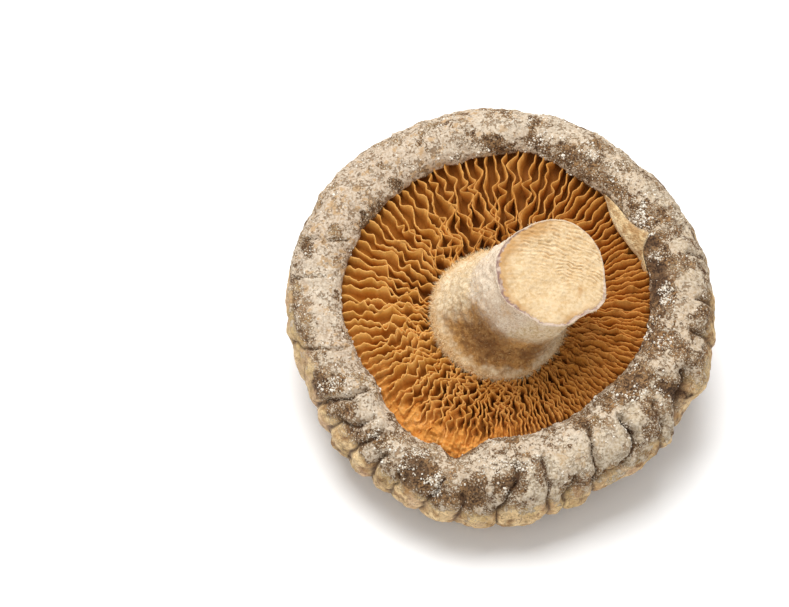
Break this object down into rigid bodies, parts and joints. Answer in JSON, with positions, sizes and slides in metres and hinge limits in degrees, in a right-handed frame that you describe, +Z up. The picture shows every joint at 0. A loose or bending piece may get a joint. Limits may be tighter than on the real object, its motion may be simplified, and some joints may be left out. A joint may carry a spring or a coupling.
{
  "type": "dried shiitake mushroom",
  "caption": "Dried shiitake lying gills up: wrinkled cap with a pleated, rolled-in rim, a ring of wavy gills and a short leaning stem with a slanting cut.",
  "frame": {"origin": "middle of the small flat spot on the cap's back that the mushroom rests on, under its centre of mass", "axes": "+Z up, out of the surface it lies on; +X to the side that the stem leans to; -Y to the side that the gills are tilted towards"},
  "size_m": [0.0504, 0.0496, 0.0279],
  "materials": {
    "cap_skin": "dry brown leathery skin under a grey-white fluffy bloom on the rolled rim, rough and matt",
    "gills": "orange-ochre dried gills with paler edges, matt",
    "stem": "cream felted fibres, matt, with a yellowish cut face"
  },
  "bodies": {
    "root": {"cap": "cap_skin", "gills": "gills", "stem": "stem"}
  },
  "joints": []
}
